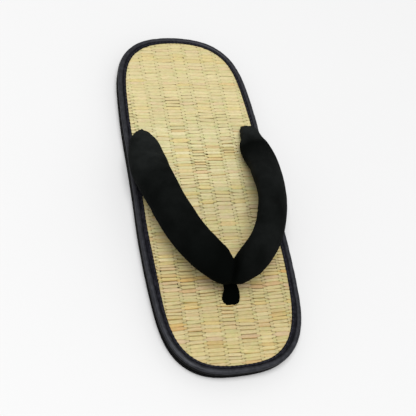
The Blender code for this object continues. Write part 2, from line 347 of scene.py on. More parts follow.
def set_points(mesh, points):
    mesh.vertices.foreach_set("co", np.asarray(points, np.float32).ravel())
    mesh.update()


def ring_turns(sides):
    return np.linspace(0, 2 * math.pi, sides, endpoint=False)


def signed_power(values, power):
    """A power of the size of each value, with the value's own sign."""
    return np.sign(values) * np.abs(values) ** power


def smooth_between(low, high, value):
    share = np.clip((value - low) / (high - low), 0, 1)
    return share * share * (3 - 2 * share)


# ---- outline ----
def half_width_at(along):
    mean = TOE_HALF_WIDTH + (HEEL_HALF_WIDTH - TOE_HALF_WIDTH) * (1 + along) / 2
    return mean - WAIST_DRAW * (1 - along * along)


def outline_point(angle):
    """A point of the rush's even outline. Angle 0 is the toe and a half turn is the heel."""
    along = -signed_power(np.cos(angle), 2 / CORNER_POWER)
    across = signed_power(np.sin(angle), 2 / CORNER_POWER)
    return np.stack((across * half_width_at(along), along * MAT_LENGTH / 2), -1)


def wrapped(values, share):
    """A closed ring of values read off its smooth curve, at shares of the way round."""
    values = np.array(values, float)
    place = np.asarray(share) * len(values)
    first = np.floor(place).astype(int)
    part = place - first
    before, here, after, beyond = (values[(first + step) % len(values)] for step in (-1, 0, 1, 2))
    return ((1 - part) ** 3 * before + (4 - 6 * part ** 2 + 3 * part ** 3) * here
            + (1 + 3 * part + 3 * part ** 2 - 3 * part ** 3) * after + part ** 3 * beyond) / 6


def travelled(curve):
    return np.concatenate(([0], np.cumsum(np.linalg.norm(np.diff(curve, axis=0), axis=1))))


def outward_of(ring):
    ahead = np.roll(ring, -1, 0) - np.roll(ring, 1, 0)
    outward = np.stack((ahead[:, 1], -ahead[:, 0]), -1)
    return outward / np.linalg.norm(outward, axis=1)[:, None]


def resampled(curve, count):
    """Points at even distances round a closed line, whose last point is its first again."""
    reached = travelled(curve)
    wanted = np.arange(count) * reached[-1] / count
    return np.stack([np.interp(wanted, reached, curve[:, axis]) for axis in (0, 1)], -1)


@functools.cache
def edge_curve():
    """The rush's visible edge as a dense closed line."""
    even = outline_point(np.linspace(0, 2 * math.pi, 4 * EDGE_POINTS + 1))
    ring = resampled(even, EDGE_POINTS)
    nudge = wrapped(EDGE_NUDGES_MM, np.arange(EDGE_POINTS) / EDGE_POINTS) * MM
    ring = ring + outward_of(ring) * nudge[:, None]
    return np.concatenate((ring, ring[:1]))


def edge_stations(count):
    """Evenly spaced points on the rush's edge, and their outward directions."""
    spots = resampled(edge_curve(), count)
    return spots, outward_of(spots)


def edge_reach(count):
    """Distance from the rush's edge to the outside of the binding, at the same stations."""
    return EDGE_REACH + wrapped(REACH_NUDGES_MM, np.arange(count) / count) * MM


def outside_by(places):
    """How far places (x, y) lie outside the rush's visible edge; negative is inside."""
    spots, outward = edge_stations(420)
    found = np.empty(len(places))
    batch = 4000
    for first in range(0, len(places), batch):
        part = places[first:first + batch]
        gaps = part[:, None, :] - spots[None]
        nearest = (gaps ** 2).sum(-1).argmin(1)
        chosen = gaps[np.arange(len(part)), nearest]
        found[first:first + batch] = (chosen * outward[nearest]).sum(-1)
    return found


def beyond_holes(places, holes_mm, margin):
    """Which places (x, y) lie outside all of the holes, whose squared size grows by margin."""
    found = np.ones(len(places), bool)
    for centre_x, centre_y, half_x, half_y in np.array(holes_mm) * MM:
        off_x = (places[:, 0] - centre_x) / half_x
        off_y = (places[:, 1] - centre_y) / half_y
        found &= off_x ** 2 + off_y ** 2 > margin
    return found


@functools.cache
def grown_sides(grow):
    """The left and right halves of the rush's edge grown by a margin, each from toe to heel."""
    heel = 600
    spots, outward = edge_stations(2 * heel)
    ring = spots + outward * grow
    halves = (np.concatenate((ring[heel:], ring[:1]))[::-1], ring[:heel + 1])
    return [(np.maximum.accumulate(half[:, 1]), half[:, 0]) for half in halves]


def across_limits(y, grow, clear):
    """Lowest and highest x inside the grown edge, for all of the strip within clear of y."""
    limits = []
    for along, across in grown_sides(grow):
        if y - clear < along[0] or y + clear > along[-1]:
            return 0.0, 0.0
        limits.append(np.interp((y - clear, y + clear), along, across))
    return float(limits[0].max()), float(limits[1].min())


# ---- lofts ----
def smooth_rows(columns, table, positions):
    """Rows read off the table's smooth curve, as a dictionary of arrays."""
    values = np.array(table, float)
    last = len(values) - 1
    first = np.minimum(positions.astype(int), last - 1)
    share = (positions - first)[:, None]
    before = values[np.maximum(first - 1, 0)]
    start = values[first]
    end = values[first + 1]
    after = values[np.minimum(first + 2, last)]
    leave = (end - before) / 2
    arrive = (after - start) / 2
    cube = 2 * start - 2 * end + leave + arrive
    square = 3 * end - 3 * start - 2 * leave - arrive
    rows = ((cube * share + square) * share + leave) * share + start
    return dict(zip(columns, rows.T))


def even_positions(table, step):
    """Table positions about one step apart along its path."""
    path = np.array(table, float)[:, :3] * MM
    positions = [0.0]
    for number, travel in enumerate(np.linalg.norm(np.diff(path, axis=0), axis=1)):
        pieces = max(2, round(travel / step))
        positions += [number + (part + 1) / pieces for part in range(pieces)]
    return np.array(positions)


def centre_line(table):
    """Places of a table's rows, whose heights are above the rush."""
    centres = np.stack((table["across"], -table["forward"], table["height"]), -1) * MM
    centres[:, 2] += MAT_TOP
    return centres


# ---- materials ----
class Paint:
    """A material under construction: its Principled shader and short calls to add nodes.

    A colour is red, green and blue. Where a call takes a value, it also takes a node's output.
    """

    def __init__(self, name, colour, roughness):
        self.material = bpy.data.materials.new(name)
        self.material.use_nodes = True
        self.tree = self.material.node_tree
        self.surface({"Base Color": colour, "Roughness": roughness})
        self.material.diffuse_color = (*colour, 1.0)

    def surface(self, values):
        """Set or feed sockets of the shader, and return the material."""
        shader = self.tree.nodes["Principled BSDF"]
        for socket, value in values.items():
            self.put(shader.inputs[socket], value)
        return self.material

    def put(self, socket, value):
        if isinstance(value, bpy.types.NodeSocket):
            self.tree.links.new(value, socket)
        else:
            socket.default_value = (*value, 1.0) if socket.type == "RGBA" else value

    def node(self, kind, inputs=None, **settings):
        made = self.tree.nodes.new("ShaderNode" + kind)
        for key, value in settings.items():
            setattr(made, key, value)
        for key, value in (inputs or {}).items():
            self.put(made.inputs[key], value)
        return made

    def attribute(self, name, output):
        return self.node("Attribute", attribute_name=name).outputs[output]

    def place(self, scale):
        """Object coordinates stretched by a scale for each axis."""
        where = self.node("TexCoord").outputs["Object"]
        return self.node("Mapping", {"Vector": where, "Scale": scale}).outputs["Vector"]

    def noise(self, scale, detail=3.0, rough=0.55):
        return self.node("TexNoise", {"Vector": self.place(scale), "Scale": 1.0, "Detail": detail,
                                      "Roughness": rough}).outputs["Fac"]

    def math(self, operation, first, second=0.0, clamp=False):
        made = self.node("Math", {0: first, 1: second}, operation=operation, use_clamp=clamp)
        return made.outputs[0]

    def spread(self, value, low, high, to_low=0.0, to_high=1.0):
        return self.node("MapRange", {"Value": value, "From Min": low, "From Max": high,
                                      "To Min": to_low, "To Max": to_high}).outputs["Result"]

    def blend(self, share, first, second, mode="MIX"):
        made = self.node("Mix", data_type="RGBA", blend_type=mode)
        sockets = {socket.identifier: socket for socket in (*made.inputs, *made.outputs)}
        self.put(sockets["Factor_Float"], share)
        self.put(sockets["A_Color"], first)
        self.put(sockets["B_Color"], second)
        return sockets["Result_Color"]

    def bump(self, height, distance, strength, below=None):
        inputs = {"Height": height, "Distance": distance, "Strength": strength}
        if below is not None:
            inputs["Normal"] = below
        return self.node("Bump", inputs).outputs["Normal"]


def rush_material(name, base, attribute=None):
    """Dry rush: fibres along the stalks, and stains that come in over wider noise."""
    paint = Paint(name, base, 0.6)
    fibres = paint.noise((70, 5200, 3600), 4.0, 0.6)
    specks = paint.noise((420, 1150, 900), 3.0, 0.7)
    grain = paint.noise((110, 1300, 900), 3.0, 0.65)
    tone = paint.math("MULTIPLY", paint.spread(fibres, 0.3, 0.7, 0.93, 1.05),
                      paint.spread(specks, 0.3, 0.7, 0.89, 1.09))
    tone = paint.math("MULTIPLY", tone, paint.spread(grain, 0.32, 0.68, 0.90, 1.07))
    colour = paint.attribute(attribute, "Color") if attribute else base
    colour = paint.blend(1.0, colour, tone, "MULTIPLY")
    greener, pinker, browner = (
        ((230, 400, 300), 3.0, 0.6, 0.48, 0.70, 0.8, (0.90, 1.0, 0.84), "MULTIPLY"),
        ((190, 560, 500), 3.0, 0.6, 0.52, 0.70, 0.8, (1.0, 0.90, 0.88), "MULTIPLY"),
        ((26, 1500, 900), 2.0, 0.55, 0.63, 0.74, 0.55, (0.40, 0.23, 0.10), "MIX"))
    for scale, detail, rough, low, high, most, tint, mode in (greener, pinker, browner):
        share = paint.spread(paint.noise(scale, detail, rough), low, high, 0.0, most)
        colour = paint.blend(share, colour, tint, mode)
    return paint.surface({
        "Base Color": colour,
        "Roughness": paint.spread(fibres, 0.3, 0.7, 0.48, 0.68),
        "Normal": paint.bump(fibres, 0.00012, 0.7),
        "Specular IOR Level": 0.35,
    })


def vinyl_material():
    """Black leathercloth with a fine grain, rubbed paler and duller in places."""
    paint = Paint("binding_vinyl", (0.012, 0.012, 0.017), 0.42)
    grain = paint.node("TexVoronoi", {
        "Vector": paint.place((1900, 1900, 1900)), "Scale": 1.0}).outputs["Distance"]
    waves = paint.noise((160, 160, 300), 4.0)
    rub = paint.noise((260, 260, 700), 4.0, 0.65)
    return paint.surface({
        "Base Color": paint.blend(paint.spread(rub, 0.42, 0.72),
                                  (0.0055, 0.0055, 0.0075), (0.025, 0.025, 0.032)),
        "Roughness": paint.spread(rub, 0.3, 0.7, 0.46, 0.62),
        "Normal": paint.bump(waves, 0.0007, 0.4, paint.bump(grain, 0.00004, 0.5)),
        "Specular IOR Level": 0.46,
        "Specular Tint": (0.90, 0.93, 1.0),
    })


def tape_material(name, dark, light, gloss):
    """Matte black tape, from its darkest to its dustiest colour."""
    paint = Paint(name, light, 0.7)
    grain = paint.noise((2400, 2400, 2400), 3.0, 0.7)
    dust = paint.noise((240, 240, 240), 4.0, 0.65)
    return paint.surface({
        "Base Color": paint.blend(paint.spread(dust, 0.45, 0.72), dark, light),
        "Roughness": paint.spread(grain, 0.3, 0.7, 0.6, 0.8),
        "Normal": paint.bump(grain, 0.00009, 0.7),
        "Specular IOR Level": gloss,
    })


def thread_material():
    paint = Paint("binding_thread", (0.02, 0.02, 0.03), 0.55)
    twist = paint.noise((2600, 2600, 2600), 2.0)
    return paint.surface({
        "Base Color": paint.blend(paint.spread(twist, 0.35, 0.65),
                                  (0.008, 0.008, 0.014), (0.034, 0.033, 0.048)),
        "Normal": paint.bump(twist, 0.0001, 0.6),
        "Specular IOR Level": 0.2,
    })


def rubber_material():
    """Black rubber, dusty where both the smears and the grit are strong."""
    paint = Paint("sole_rubber", (0.005, 0.005, 0.005), 0.7)
    grit = paint.noise((1700, 1700, 1700), 4.0, 0.7)
    smears = paint.noise((60, 60, 200))
    dust = paint.math("MULTIPLY", paint.spread(smears, 0.45, 0.7),
                      paint.spread(grit, 0.4, 0.7, 0.1, 0.7))
    return paint.surface({
        "Base Color": paint.blend(dust, (0.0016, 0.0016, 0.0017), (0.0058, 0.0058, 0.0055)),
        "Roughness": paint.spread(smears, 0.3, 0.7, 0.62, 0.8),
        "Normal": paint.bump(grit, 0.00012, 0.6),
        "Specular IOR Level": 0.045,
    })


def cotton_material(name, gloss):
    """Black brushed cotton, lightened and darkened point by point: painted light and shade.
    The weave follows the cloth's own coordinates, in millimetres.
    """
    paint = Paint(name, (0.0095, 0.0098, 0.0095), 0.92)
    cloth = paint.node("SeparateXYZ", {"Vector": paint.attribute("cloth_mm", "Vector")})
    threads = [paint.math("SINE", paint.math("MULTIPLY", cloth.outputs[axis], 2 * math.pi / WEAVE_MM))
               for axis in ("X", "Y")]
    nap = paint.noise((2300, 2300, 2300), 3.0, 0.6)
    shade_and_wear = paint.noise((75, 75, 75), 4.0, 0.6)
    height = paint.math("ADD", paint.math("MULTIPLY", paint.math("MULTIPLY", *threads), 0.35), nap)
    # Uneven wear and the nap mottle the colour, which each point's painted light and shade then
    # scales.
    lift = paint.math("MULTIPLY", paint.spread(shade_and_wear, 0.35, 0.68, 0.60, 1.35),
                      paint.spread(nap, 0.35, 0.7, 0.85, 1.15))
    lift = paint.math("MULTIPLY", lift, paint.attribute("painted_light", "Fac"), clamp=True)
    return paint.surface({
        "Base Color": paint.blend(lift, COTTON_DEEP, COTTON_PAINTED_LIT),
        "Roughness": paint.spread(nap, 0.3, 0.7, 0.82, 0.98),
        "Normal": paint.bump(height, 0.00016, 0.8),
        "Specular IOR Level": gloss,
        "Sheen Weight": 0.003,
        "Sheen Roughness": 0.45,
        "Sheen Tint": (0.8, 0.85, 0.85),
    })


def floor_material():
    paint = Paint("studio_floor", (0.88, 0.88, 0.88), 0.9)
    return paint.surface({
        "Base Color": paint.blend(paint.noise((3, 3, 3), 2.0),
                                  (0.818, 0.818, 0.819), (0.826, 0.826, 0.826)),
        "Specular IOR Level": 0.1,
    })


# ---- rush ----
def warp_line(number, y):
    nudge = WARP_NUDGES_MM[number - WARP_LINES[0]] * MM if number in WARP_LINES else 0.0
    return WARP_MOST + WARP_SPACING * number + nudge - WARP_BEND * (y - WARP_MOST_PLACE) ** 2


def free_spans(y, low, high):
    """What is left of a stalk from low to high, inside the binding and outside the holes."""
    left, right = across_limits(y, REED_UNDER_STRIP, BAR_CLEAR)
    spans = [(max(low, left), min(high, right))]
    for centre_x, centre_y, half_x, half_y in np.array(HOLES_MM) * MM:
        reach = 1 - ((y - centre_y) / (half_y + BAR_HOLE_GAP)) ** 2
        if reach <= 0:
            continue
        half = half_x * math.sqrt(reach)
        cut = []
        for start, end in spans:
            cut += [(start, min(end, centre_x - half)), (max(start, centre_x + half), end)]
        spans = [span for span in cut if span[1] > span[0]]
    return [span for span in spans if span[1] - span[0] > SHORTEST_BAR]


# Colours of the stalks, and how common each is.
STALK_TONES = np.array((
    (0.79, 0.685, 0.345), (0.82, 0.715, 0.385), (0.77, 0.685, 0.350), (0.80, 0.670, 0.360),
    (0.85, 0.745, 0.410), (0.82, 0.680, 0.310), (0.74, 0.670, 0.345), (0.79, 0.640, 0.370)))
STALK_LEVEL = np.array((0.912, 0.925, 0.965))
STALK_SHARES = np.array((0.24, 0.2, 0.16, 0.12, 0.1, 0.07, 0.06, 0.05))
MEAN_TONE = (STALK_TONES * STALK_SHARES[:, None]).sum(0) * STALK_LEVEL
# The look at places along the sandal, in millimetres towards the heel: how strongly the
# painted shade along the edges of bars, their tones, their hues and the painted shade at their
# ends stand out, how fully they taper, and their tint.
LOOK_COLUMNS = ("place", "edge", "tone", "hue", "end", "taper", "red", "green", "blue")
LOOK_TABLE = (
    (-110, 1.7, 0.8, 1.4, 1.05, 0.88, 0.985, 1.0, 1.0),
    (-60, 1.5, 1.1, 1.15, 1.3, 0.97, 0.985, 1.005, 1.01),
    (30, 1.1, 1.2, 1.05, 1.1, 1.0, 1.0, 1.035, 1.08),
    (90, 0.58, 0.55, 0.75, 0.3, 0.66, 0.968, 0.945, 0.925),
)
# What is drawn at random for each bar, from 0 to 1.
LUCK = ("width", "lift", "tilt", "tone", "kind", "edge", "bow", "toe_edge")
EDGE_SHADE_BROWN = np.array((0.37, 0.64, 1.0))    # how much of each colour a bar's edge loses at most: painted shade in the gap, tinted brown
WARP_SHADE = np.array((0.06, 0.04, 0.07))   # painted shade, olive, over the dips at the warp lines
END_SHADE = np.array((0.50, 0.55, 0.62))    # painted shade at a bar's very end, where it dives under
PROUD_LIFT = 0.12 * MM          # of a bar that stands above its neighbours
# Painted highlight on the heel edge of a proud bar.
PROUD_HEEL_HIGHLIGHT = np.array((1.10, 1.09, 1.08))
RUSTY_TINT = (0.97, 0.87, 0.76)     # of the few bars that are redder all over
# The rush is darker and browner towards the toe: partly painted shade, partly a browner
# colour. The tint where it is strongest, and the places between which it comes in.
TOE_SHADE_BROWN_TINT = np.array((0.87, 0.83, 0.79))
TOE_SHADE_FROM = 60 * MM
TOE_SHADE_FULL = -105 * MM
# A stalk's section, from its heel side over the top to its toe side and underneath.
SECTION_TURNS = np.radians((-6, 24, 62, 118, 156, 186, 270))
SECTION_POWER = 0.72            # below 1 flattens the top
# Painted shade over the section: darker at its sides and underneath, where bars meet.
SECTION_SHADE = np.array((0.84, 0.97, 1.0, 1.0, 0.97, 0.84, 0.5))
# How much of the painted shade of its heel edge, or of a proud bar's painted highlight there,
# and of the painted shade of its toe edge, each point of the section takes.
HEEL_SIDE = np.array((1, 1, 0.4, 0, 0, 0, 0))
TOE_SIDE = np.array((0, 0, 0, 0.3, 0.95, 1, 0))
# Along a bar, from beyond the warp cord to its middle: distance, half width as a share of the
# bar's own, and drop below the top in millimetres.
BAR_END_MM = np.array((-1.3, -1.05, -0.8, 1.15, 1.45, 1.8, 2.4))
BAR_END_WIDTH = np.array((0.42, 0.50, 0.52, 0.54, 0.88, 0.97, 1.0))
BAR_END_DROP_MM = np.array((0.36, 0.14, 0.06, 0.04, 0.02, 0.0, 0.0))
PINCH_MOST = 0.30               # how much a bar may be drawn in beside the cord
BAR_SLOPE = 0.035               # how far a bar may lie askew, as a gradient
# Places where the bars of one column lie loose and show the gaps between them: the column's
# number, distance towards the heel, half length in millimetres, and how loose.
LOOSE_PLACES = (
    (-3, -66, 13, 1.0), (-4, -62, 26, 0.45), (-2, -78, 10, 0.5), (-1, -84, 9, 0.9),
    (-1, 22, 22, 0.55), (1, 34, 9, 0.8), (1, -12, 16, 0.35), (0, -86, 8, 0.3),
    (2, -74, 14, 0.5), (1, -82, 12, 0.55), (-2, 70, 10, 0.3), (0, 72, 9, 0.3),
    (2, -4, 12, 0.4), (-5, 62, 26, 0.8), (-5, -80, 30, 0.7), (3, -66, 16, 0.7))
# Single bars with a strong colour of their own: column, distance towards the heel in
# millimetres, and tint.
STAINED_BARS = (
    (-3, -69.4, (1.0, 0.82, 0.64)), (-4, -105, (0.92, 0.78, 0.68)), (3, -69, (0.98, 0.82, 0.70)),
    (0, 34, (0.96, 0.84, 0.74)), (-3, 55.5, (1.0, 0.90, 0.72)), (-2, 40, (1.0, 0.90, 0.72)),
    (1, 31.5, (0.95, 0.86, 0.74)), (-4, 96.5, (1.0, 0.93, 0.76)), (2, 94, (1.0, 0.92, 0.74)),
    (-1, 92.5, (1.0, 0.94, 0.80)), (-2, 20, (1.0, 0.92, 0.78)), (-1, 12.5, (1.02, 0.93, 0.86)))


def look_along(y):
    """What LOOK_TABLE says of a place along the sandal, by column."""
    columns = dict(zip(LOOK_COLUMNS, np.array(LOOK_TABLE, float).T))
    return {name: float(np.interp(y / MM, columns["place"], column))
            for name, column in columns.items()}


def looseness(column, y):
    """How far the bars of a column are apart at y: 0 closed up, 1 wide open."""
    patch = noise.noise((column * 7.3, y / (17 * MM), 2.0))
    found = 0.55 * float(smooth_between(-0.05, 0.45, patch))
    for number, centre, half, amount in LOOSE_PLACES:
        if number == column:
            found += amount * math.exp(-((y / MM - centre) / half) ** 2)
    heel_press = 1 - 0.55 * float(smooth_between(85 * MM, 115 * MM, y))
    return min(found, 1.0) * heel_press


def stained(column, y):
    """The tint of a bar, which is its own where STAINED_BARS lists it."""
    for number, place, tint in STAINED_BARS:
        if number == column and abs(y / MM - place) < REED_PITCH / MM:
            return np.array(tint)
    return np.ones(3)


def lay_bar(random, luck, column, y, pitch):
    """How one bar lies: its place, its half width, and how it is askew, in metres."""
    loose, look = looseness(column, y), look_along(y)
    bar = SimpleNamespace(y=y, loose=loose, look=look)
    bar.low, bar.high = warp_line(column, y), warp_line(column + 1, y)
    bar.at_low, bar.at_high = column in WARP_LINES, column + 1 in WARP_LINES
    bar.half_width = pitch / 2 * REED_COVER * (1.0 + 0.12 * (luck["width"] - 0.5))
    bar.lift = (luck["lift"] - 0.5) * (0.08 + 0.12 * loose) * MM
    bar.bow = 0.35 * MM * (luck["bow"] - 0.5) * loose
    bar.tilt = BAR_TILT * (luck["tilt"] - 0.5)
    # Strength of the painted shade at the bar's ends.
    bar.ends_dark = random.uniform(0.2, 1.2) * look["end"] * (0.6 + loose)
    bar.end_jitter = random.uniform(-0.3, 0.3, 2) * MM
    bar.pinches = PINCH_MOST * random.uniform(0, 1, 2) ** 2
    bar.slope = random.uniform(-1, 1) * BAR_SLOPE
    return bar


def tint_bar(bar, luck, tone, shade_and_wear):
    """Give a bar its colour and the brown painted shade of its two edges. A proud bar is also
    lifted, with a painted highlight on its heel edge and deeper painted shade on its toe edge.
    """
    look, strong = bar.look, bar.look["edge"]
    ratio = tone / MEAN_TONE
    level = ratio.mean()
    bar.colour = MEAN_TONE * level ** look["tone"] * (ratio / level) ** look["hue"]
    bar.colour *= (look["red"], look["green"], look["blue"])
    # Painted shade and a browner colour towards the toe.
    bar.colour *= 1 - shade_and_wear * (1 - TOE_SHADE_BROWN_TINT)
    brown = EDGE_SHADE_BROWN * strong
    # Painted shade along the heel edge and the toe edge, deeper on the toe side.
    bar.heel_edge = 1 - (0.06 + 0.10 * bar.loose + 0.08 * luck["edge"]) * brown
    bar.toe_edge = 1 - (0.14 + 0.16 * bar.loose + 0.16 * luck["toe_edge"]) * brown
    if luck["kind"] < 0.10 + 0.14 * bar.loose:
        bar.lift += PROUD_LIFT * strong
        # Painted highlight on the heel edge, deeper painted shade on the toe edge.
        bar.heel_edge = 1 + (PROUD_HEEL_HIGHLIGHT - 1) * strong
        bar.toe_edge = 1 - (0.40 + 0.30 * luck["edge"]) * brown
    elif luck["kind"] < 0.30 + 0.30 * bar.loose:
        bar.toe_edge = 1 - (0.25 + 0.30 * luck["edge"]) * brown
    elif luck["kind"] > 1 - 0.035 * strong ** 2:
        bar.colour *= RUSTY_TINT


def bar_spans(bar):
    low = bar.low + BAR_END_MM[0] * MM + bar.end_jitter[0] if bar.at_low else -1.0
    high = bar.high - BAR_END_MM[0] * MM - bar.end_jitter[1] if bar.at_high else 1.0
    return free_spans(bar.y, low, high)


def bar_rings(bar, start, end):
    """Rings of points along a bar, with their drop and, in millimetres, distance from the warp."""
    length = end - start
    steps = (BAR_END_MM - BAR_END_MM[0]) * MM
    steps = steps * min(1.0, length / (2 * steps[-1] + 0.5 * MM))
    across = np.concatenate((start + steps, end - steps[::-1]))
    from_warp = np.full(len(across), 9.0 * MM)
    if bar.at_low:
        from_warp = np.minimum(from_warp, across - bar.low)
    if bar.at_high:
        from_warp = np.minimum(from_warp, bar.high - across)
    from_warp /= MM
    narrowed = bar.look["taper"] * (1 - np.interp(from_warp, BAR_END_MM, BAR_END_WIDTH))
    half = bar.half_width * (1 - narrowed)
    half *= 1 - bar.loose * (0.10 + 0.14 * np.exp(-(from_warp / 3.2) ** 2))
    pinch = np.where(across < (bar.low + bar.high) / 2, *bar.pinches)
    half *= 1 - pinch * np.exp(-((from_warp - 1.1) / 0.7) ** 2)
    drop = np.interp(from_warp, BAR_END_MM, BAR_END_DROP_MM) * MM
    drift = [0.16 * MM * noise.noise((bar.wander, x * 90, 0.0))
             + 0.55 * MM * noise.noise((x * 95, bar.y * 45, 5.0)) for x in across]
    drift = np.array(drift) + bar.bow * (1 - (2 * (across - start) / length - 1) ** 2)
    drift += bar.slope * (across - (start + end) / 2)
    turns = SECTION_TURNS + bar.tilt
    out = half[:, None] * signed_power(np.cos(turns), SECTION_POWER)
    rise = REED_HALF_HEIGHT * signed_power(np.sin(turns), SECTION_POWER)
    centre = REED_CENTRE + bar.lift - drop
    rings = rings_of(across[:, None], (bar.y + drift)[:, None] + out, centre[:, None] + rise)
    return rings, drop, from_warp


def bar_colours(bar, drop, from_warp):
    """Colours of a bar's points, with painted shade: darker on the sides and underside of the
    section, where it dives under, over the warp lines and at its very end, and darker and
    browner along its edges.
    """
    shade = SECTION_SHADE * (1 - 0.35 * drop[:, None] / MM)
    shaded = np.exp(-(from_warp / 1.3) ** 4)[:, None, None]
    at_end = (from_warp < BAR_END_MM[1] + 0.05)[:, None, None]
    open_part = 1 - 0.5 * shaded
    colours = np.ones((*shade.shape, 4))
    colours[..., :3] = bar.colour * shade[..., None]
    colours[..., :3] *= 1 - WARP_SHADE * shaded - END_SHADE * at_end * bar.ends_dark
    colours[..., :3] *= 1 - HEEL_SIDE[:, None] * (1 - bar.heel_edge) * open_part
    colours[..., :3] *= 1 - TOE_SIDE[:, None] * (1 - bar.toe_edge) * open_part
    return colours.reshape(-1, 4)


def build_reeds(material):
    """The stalks: in each column every other one lies on top, as a bar from warp to warp."""
    random = np.random.default_rng(SEED)
    count = int(REED_STRETCH / REED_PITCH)
    along = np.cumsum(random.uniform(0.55, 1.45, count) * np.linspace(
        REED_FINE_AT_TOE, REED_COARSE_AT_HEEL, count))
    along = (along / along[-1] - 0.5) * REED_STRETCH
    halfway = (along[:-2] + along[2:]) / 2
    halfway = np.concatenate((along[:2] - REED_PITCH, halfway, along[-2:] + REED_PITCH))
    tubes, colours = [], []
    for reed in range(count):
        tone = STALK_TONES[random.choice(len(STALK_TONES), p=STALK_SHARES)]
        tone = tone * random.uniform(0.95, 1.04) * STALK_LEVEL
        wander = random.uniform(0, 100)
        # How far the toe's painted shade and browner colour have come in.
        shade_and_wear = float(smooth_between(TOE_SHADE_FROM, TOE_SHADE_FULL, along[reed]))
        toe_side, heel_side = halfway[reed], halfway[reed + 2]
        for column in range(WARP_LINES[0] - 1, WARP_LINES[-1] + 1):
            luck = dict(zip(LUCK, random.uniform(0, 1, len(LUCK))))
            if (reed + column) % 2:
                continue
            y = (toe_side + heel_side) / 2
            bar = lay_bar(random, luck, column, y, heel_side - toe_side)
            bar.wander = wander
            own_tone = tone * (0.97 + 0.06 * luck["tone"]) * stained(column, y)
            tint_bar(bar, luck, own_tone, shade_and_wear)
            for start, end in bar_spans(bar):
                rings, *lie = bar_rings(bar, start, end)
                tubes.append(rings)
                colours.append(bar_colours(bar, *lie))
    points, faces = joined_tubes(tubes)
    pressed = smooth_between(REED_PRESSED_FROM, REED_PRESSED_FULL, outside_by(points[:, :2]))
    points[:, 2] -= np.maximum(points[:, 2] - REED_PRESSED, 0) * REED_GIVE * pressed
    item = mesh_object("rush_stalks", points, faces, material)
    add_point_values(item, "stalk_colour", "FLOAT_COLOR", np.concatenate(colours))
    return item


def build_core(material):
    """The layer that the stalks lie on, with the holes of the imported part."""
    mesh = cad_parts["rush_mat"].data.copy()
    mesh.name = "rush_core"
    points = read_array(mesh.vertices, "co")
    points[:, 2] = np.minimum(points[:, 2], CORE_TOP)
    set_points(mesh, points)
    mesh.materials.clear()
    mesh.materials.append(material)
    return link("rush_core", mesh)


def build_warps(material):
    """The cords that the stalks are woven over, which show only in the dips between columns."""
    turn = ring_turns(WARP_SIDES)
    tubes = []
    for number in WARP_LINES:
        y = np.arange(-MAT_LENGTH / 2 - 1 * MM, MAT_LENGTH / 2 + 1 * MM, WARP_STEP)
        x = warp_line(number, y)
        places = np.stack((x, y), -1)
        inside = np.flatnonzero(
            (outside_by(places) < 1.0 * MM) & beyond_holes(places, HOLES_MM, 1.1))
        for run in np.split(inside, np.flatnonzero(np.diff(inside) > 1) + 1):
            if len(run) < WARP_FEWEST_STEPS:
                continue
            middle = x[run] + WARP_SWAY * np.sin(y[run] / REED_PITCH * math.pi)
            tubes.append(rings_of(middle[:, None] + WARP_HALF_WIDTH * np.cos(turn),
                                  y[run][:, None],
                                  WARP_HEIGHT + WARP_HALF_HEIGHT * np.sin(turn)))
    item = mesh_object("rush_warp_cords", *joined_tubes(tubes), material)
    item.data.flip_normals()    # to face outward
    return item


# ---- binding ----
def binding_count():
    return round(travelled(edge_curve())[-1] / STITCH_PITCH) * STATIONS_PER_STITCH


def ring_noise(count, seed, turns):
    """Smooth random values round the closed edge."""
    angle = 2 * math.pi * np.arange(count) / count
    return np.array([noise.noise((turns * math.cos(a) + seed, turns * math.sin(a), seed * 3.7))
                     for a in angle])


def around_edge(name, rows, material, sharp=None):
    """A closed loft round the sandal from rows of (distance out, height)."""
    count = binding_count()
    spots, outward = edge_stations(count)
    ring = np.empty((count, len(rows), 3))
    for number, (out, height) in enumerate(rows):
        ring[:, number, :2] = spots + outward * np.broadcast_to(out, count)[:, None]
        ring[:, number, 2] = height
    faces = tube_faces(count, len(rows), closed=True)
    return mesh_object(name, ring.reshape(-1, 3), faces, material, sharp)


def paint_rows(item, material, chosen):
    """Give a second material to the chosen rows of a loft round the sandal."""
    item.data.materials.append(material)
    indices = np.tile(np.asarray(chosen, np.int32), binding_count())
    item.data.polygons.foreach_set("material_index", indices)


def roll_shape(count):
    """Half width of the roll and distance of its middle from the rush's edge, at each station."""
    share = np.arange(count) / count
    half = wrapped(ROLL_HALVES_MM, share) * MM
    return half, edge_reach(count) - wrapped(ROLL_INSETS_MM, share) * MM - half


